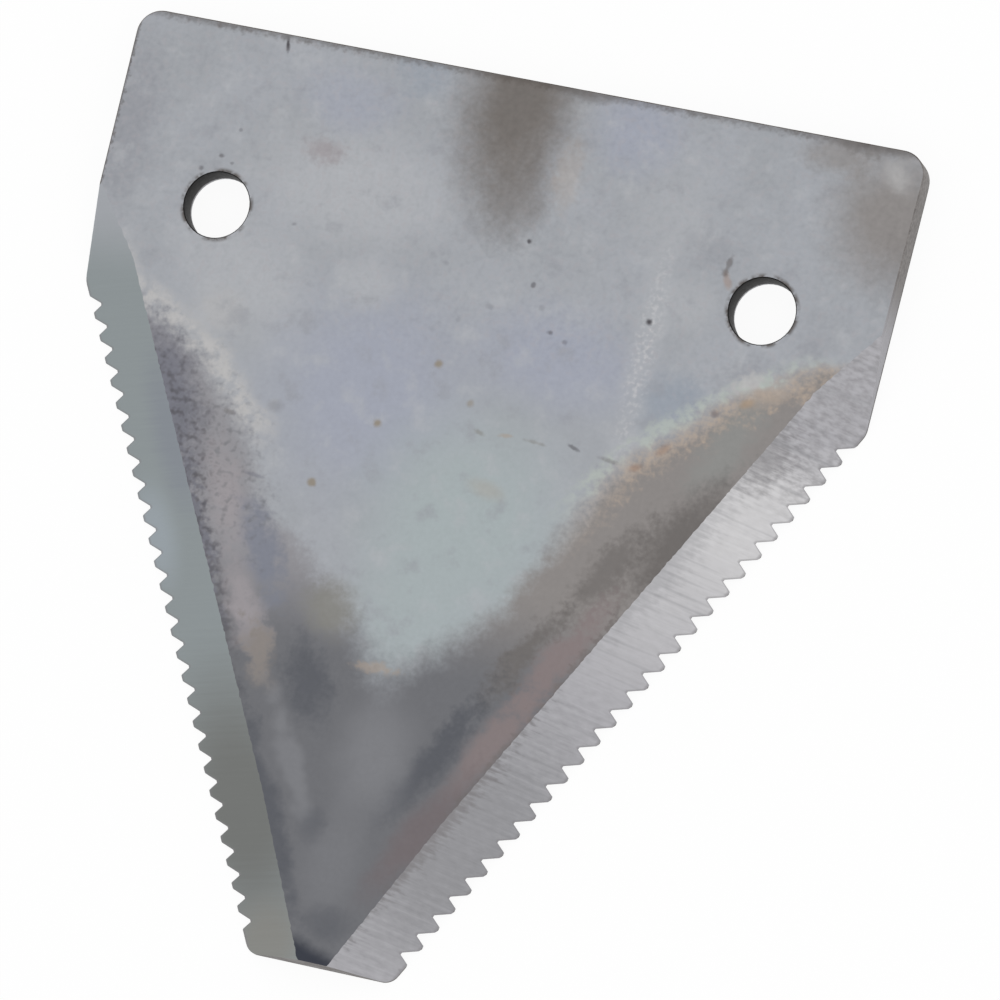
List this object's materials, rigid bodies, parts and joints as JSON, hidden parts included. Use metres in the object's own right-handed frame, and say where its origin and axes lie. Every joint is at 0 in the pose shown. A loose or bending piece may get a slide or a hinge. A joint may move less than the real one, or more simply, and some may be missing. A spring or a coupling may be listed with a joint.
{
  "type": "mower sickle section",
  "caption": "Flat steel knife section for a sickle-bar mower, with bevelled, underserrated cutting edges that close in to a square point and rivet holes at the wide end.",
  "frame": {"origin": "midway between the two rivet holes, on the plain underside", "axes": "+X along the knife bar through both rivet holes, +Y towards the back edge and away from the cutting point, +Z out of the bevelled face"},
  "size_m": [0.076, 0.0835, 0.003],
  "materials": {
    "blade_steel": "hardened steel with a matte grey face, a brown and blue heat-tint band and bright ground bevels"
  },
  "bodies": {
    "root": {"knife_section": "blade_steel"}
  },
  "joints": []
}
